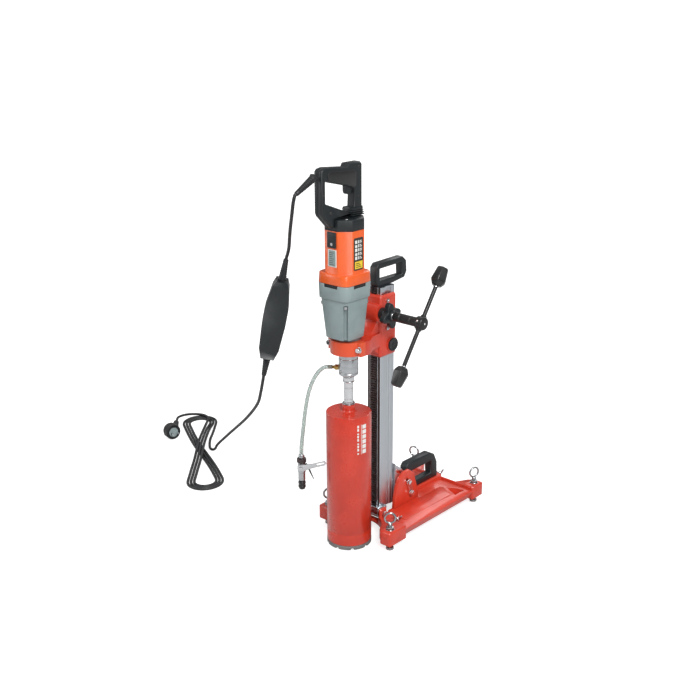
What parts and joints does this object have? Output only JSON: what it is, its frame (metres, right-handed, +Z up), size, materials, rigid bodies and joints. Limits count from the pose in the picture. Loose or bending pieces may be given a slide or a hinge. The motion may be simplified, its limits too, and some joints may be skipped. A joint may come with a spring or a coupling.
{
  "type": "core drill rig",
  "caption": "Wet core drilling rig: an upright drill motor with a core bit on a rack-fed tilting column, crank, levelling base, water feed and mains cord.",
  "frame": {"origin": "on the floor under the middle of the rig's box without its cords and hose", "axes": "+Z up along the column and the drill axis, +Y from the core bit to the back of the base, +X to the crank"},
  "size_m": [1.1139, 0.588, 0.963],
  "materials": {
    "cast_red": "satin powder coat",
    "bit_red": "satin enamel",
    "orange_paint": "satin enamel",
    "gear_grey": "satin enamel over cast metal",
    "black_plastic": "moulded, fine grain",
    "black_metal": "black coating",
    "grip_rubber": "moulded",
    "cord_rubber": "matt",
    "machined_steel": "machined",
    "blued_steel": "machined, cool reflections",
    "chrome_plate": "polished",
    "column_aluminium": "extruded, satin",
    "brass": "machined",
    "copper_winding": "varnished winding",
    "clear_hose": "flexible clear plastic",
    "diamond_segment": "sintered, rough",
    "button_chrome": "gloss"
  },
  "bodies": {
    "base": {"base_casting": "cast_red", "tilt_pivot_pin": "machined_steel", "tilt_cheek_right": "cast_red", "tilt_cheek_left": "cast_red", "tilt_clamp_right": "chrome_plate", "tilt_clamp_left": "chrome_plate", "base_carry_handle": "black_plastic", "cord_hank": "cord_rubber", "mains_plug": "cord_rubber"},
    "levelling_screw_front_left": {"levelling_screw_1": "chrome_plate"},
    "levelling_screw_rear_left": {"levelling_screw_2": "chrome_plate"},
    "levelling_screw_front_right": {"levelling_screw_3": "chrome_plate"},
    "levelling_screw_rear_right": {"levelling_screw_4": "chrome_plate"},
    "column": {"column_profile": "column_aluminium", "rack": "machined_steel", "column_foot_bracket": "column_aluminium", "tilt_sector": "column_aluminium", "column_top_handle": "black_plastic", "safety_switch": "black_plastic", "mains_cord_lower": "cord_rubber", "valve_body": "chrome_plate"},
    "carriage": {"carriage_casting": "cast_red", "clamp_cap": "orange_paint", "clamp_bolt_right": "chrome_plate", "clamp_bolt_left": "chrome_plate", "glide_pad_right": "brass", "glide_pad_left": "brass", "adjuster_cap_right": "black_plastic", "adjuster_cap_left": "black_plastic", "gearbox_housing": "gear_grey", "gearbox_flange": "gear_grey", "motor_housing": "orange_paint", "rear_cap": "black_plastic", "handle_shell_right": "black_plastic", "handle_shell_left": "black_plastic", "strain_relief": "grip_rubber", "brush_cover": "black_plastic", "stator": "copper_winding", "motor_bearing": "machined_steel", "spindle_bearing": "machined_steel", "water_swivel": "machined_steel", "hose_nipple": "brass", "water_hose": "clear_hose", "mains_cord_upper": "cord_rubber"},
    "crank": {"crank_shaft": "machined_steel", "crank_hub": "black_metal", "crank_grip_upper": "grip_rubber", "crank_grip_lower": "grip_rubber"},
    "feed_lock": {"feed_lock_knob": "black_plastic"},
    "spindle": {"spindle": "machined_steel", "bit_adapter": "blued_steel", "core_bit": "bit_red", "bit_crown": "diamond_segment"},
    "layshaft": {"layshaft": "machined_steel"},
    "armature": {"armature": "copper_winding"},
    "trigger": {"trigger": "black_plastic"},
    "valve_lever": {"valve_lever": "chrome_plate"},
    "test_button": {"test_button": "button_chrome"},
    "reset_button": {"reset_button": "button_chrome"}
  },
  "joints": [
    {"name": "column_tilt", "type": "hinge", "parent": "base", "child": "column", "pos_m": [-0.0275, -0.066, 0.057], "axis": [-1, 0, 0], "range_deg": [0, 25], "deforming": ["mains_cord_lower"]},
    {"name": "carriage_slide", "type": "slide", "parent": "column", "child": "carriage", "axis": [0, 0, 1], "range_m": [-0.28, 0.012], "deforming": ["mains_cord_upper", "water_hose"]},
    {"name": "crank_spin", "type": "hinge", "parent": "carriage", "child": "crank", "pos_m": [-0.0275, -0.072, 0.595], "axis": [1, 0, 0], "range_deg": [-60, 1340]},
    {"name": "feed_lock_turn", "type": "hinge", "parent": "carriage", "child": "feed_lock", "pos_m": [0.0225, -0.072, 0.595], "axis": [1, 0, 0], "range_deg": [0, 90]},
    {"name": "spindle_spin", "type": "hinge", "parent": "carriage", "child": "spindle", "pos_m": [-0.0275, -0.152, 0.5], "axis": [0, 0, 1], "continuous": true},
    {"name": "layshaft_spin", "type": "hinge", "parent": "carriage", "child": "layshaft", "pos_m": [-0.0475, -0.168, 0.61], "axis": [0, 0, 1], "continuous": true},
    {"name": "armature_spin", "type": "hinge", "parent": "carriage", "child": "armature", "pos_m": [-0.0275, -0.164, 0.75], "axis": [0, 0, 1], "continuous": true},
    {"name": "trigger_squeeze", "type": "slide", "parent": "carriage", "child": "trigger", "axis": [0, 0, 1], "range_m": [0, 0.006], "stiffness_N_per_m": 600},
    {"name": "water_valve_turn", "type": "hinge", "parent": "column", "child": "valve_lever", "pos_m": [-0.1227, -0.2234, 0.205], "axis": [0.6, -0.8, 0], "range_deg": [0, 90]},
    {"name": "test_button_press", "type": "slide", "parent": "column", "child": "test_button", "axis": [0.6677, -0.7374, -0.102], "range_m": [0, 0.0025], "stiffness_N_per_m": 400},
    {"name": "reset_button_press", "type": "slide", "parent": "column", "child": "reset_button", "axis": [0.6677, -0.7374, -0.102], "range_m": [0, 0.0025], "stiffness_N_per_m": 400},
    {"name": "levelling_turn_front_left", "type": "hinge", "parent": "base", "child": "levelling_screw_front_left", "pos_m": [-0.1325, -0.116, 0], "axis": [0, 0, 1], "continuous": true},
    {"name": "levelling_turn_rear_left", "type": "hinge", "parent": "base", "child": "levelling_screw_rear_left", "pos_m": [-0.1325, 0.24, 0], "axis": [0, 0, 1], "continuous": true},
    {"name": "levelling_turn_front_right", "type": "hinge", "parent": "base", "child": "levelling_screw_front_right", "pos_m": [0.0775, -0.116, 0], "axis": [0, 0, 1], "continuous": true},
    {"name": "levelling_turn_rear_right", "type": "hinge", "parent": "base", "child": "levelling_screw_rear_right", "pos_m": [0.0775, 0.24, 0], "axis": [0, 0, 1], "continuous": true}
  ],
  "couplings": [
    {"joint": "crank_spin", "follows": "carriage_slide", "rad_per_m": -83.333},
    {"joint": "layshaft_spin", "follows": "spindle_spin", "ratio": -3},
    {"joint": "armature_spin", "follows": "spindle_spin", "ratio": 9.375}
  ]
}
